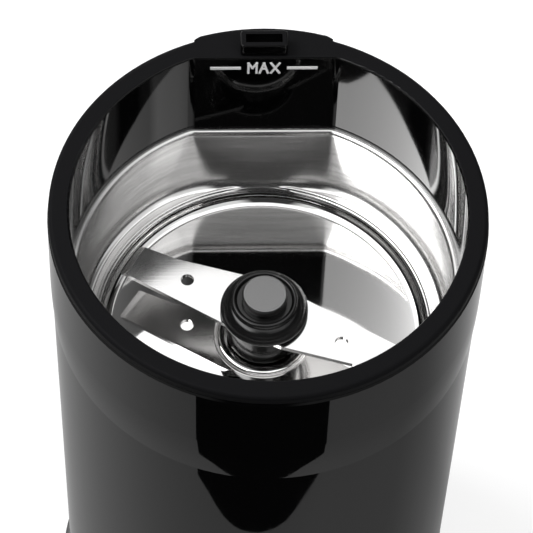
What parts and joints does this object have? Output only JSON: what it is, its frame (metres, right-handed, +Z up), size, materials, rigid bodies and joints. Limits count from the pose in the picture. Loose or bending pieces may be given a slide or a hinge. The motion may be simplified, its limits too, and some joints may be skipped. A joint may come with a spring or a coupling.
{
  "type": "electric spice grinder",
  "caption": "Electric spice grinder with its lid off: round black body, D-shaped steel bowl, two-wing blade on a central hub and a lid interlock at the rear.",
  "frame": {"origin": "centre of the base on the table", "axes": "+Z up along the spindle, +Y to the rear, where the lid interlock is"},
  "size_m": [0.096, 0.096, 0.1655],
  "materials": {
    "matt_black": "matt black moulded plastic, gloss on the sides and the cavity wall",
    "white_print": "white printed fill mark",
    "gloss_black": "gloss black moulded plastic",
    "black_plastic": "black moulded plastic",
    "hub_black": "semi-gloss black moulded plastic",
    "inner_plastic": "natural moulded plastic",
    "rubber": "black rubber",
    "bowl_steel": "stainless steel, brushed wall and polished floor",
    "blade_steel": "polished stainless steel",
    "satin_steel": "satin steel",
    "zinc_steel": "zinc plated steel",
    "lamination": "varnished steel laminations",
    "copper": "enamelled copper wire and copper segments",
    "bracket_alloy": "die-cast aluminium",
    "bronze": "sintered bronze",
    "brass": "brass",
    "carbon": "carbon brush",
    "fibre": "red vulcanised fibre"
  },
  "bodies": {
    "housing": {"rim_collar": "matt_black", "max_mark": "white_print", "body_shell": "gloss_black", "base_ring": "gloss_black", "base_plate": "black_plastic", "rubber_feet": "rubber", "base_screws": "zinc_steel", "cord_bush": "rubber", "bowl": "bowl_steel", "bowl_gasket": "rubber", "shaft_seal": "rubber", "bowl_cradle": "inner_plastic", "rubber_dampers": "rubber", "damper_screws": "zinc_steel", "upper_bracket": "bracket_alloy", "lower_bracket": "bracket_alloy", "upper_bearing": "bronze", "lower_bearing": "bronze", "stator_core": "lamination", "field_coils": "copper", "stator_bolts": "zinc_steel", "brush_holders": "inner_plastic", "carbon_brushes": "carbon", "brush_springs": "zinc_steel", "brush_caps": "black_plastic", "terminal_block": "inner_plastic", "switch_bracket": "zinc_steel", "bracket_screws": "zinc_steel", "switch_body": "black_plastic", "switch_screws": "zinc_steel", "switch_terminals": "brass", "lever_pin": "zinc_steel"},
    "spindle": {"drive_shaft": "satin_steel", "armature_core": "lamination", "armature_windings": "copper", "commutator": "copper", "thrust_washers": "fibre", "hub_skirt": "hub_black", "hub_insert": "brass", "blade": "blade_steel", "hub_collar": "hub_black", "hub_cap": "satin_steel"},
    "interlock": {"push_rod": "black_plastic", "rod_spring": "zinc_steel"},
    "lever": {"switch_lever": "zinc_steel"},
    "button": {"switch_button": "inner_plastic"}
  },
  "joints": [
    {"name": "spindle_spin", "type": "hinge", "parent": "housing", "child": "spindle", "pos_m": [0, 0, 0.11], "axis": [0, 0, 1], "continuous": true},
    {"name": "interlock_press", "type": "slide", "parent": "housing", "child": "interlock", "axis": [0, 0, -1], "range_m": [0, 0.003], "stiffness_N_per_m": 300, "springref_m": -0.002, "deforming": ["rod_spring"]},
    {"name": "lever_turn", "type": "hinge", "parent": "housing", "child": "lever", "pos_m": [-0.0105, 0.0395, 0.0713], "axis": [0, 1, 0], "range_deg": [0, 16]},
    {"name": "button_press", "type": "slide", "parent": "housing", "child": "button", "axis": [0, 0, -1], "range_m": [0, 0.001]}
  ],
  "couplings": [
    {"joint": "lever_turn", "follows": "interlock_press", "rad_per_m": 92.991},
    {"joint": "button_press", "follows": "interlock_press", "ratio": 0.333}
  ]
}
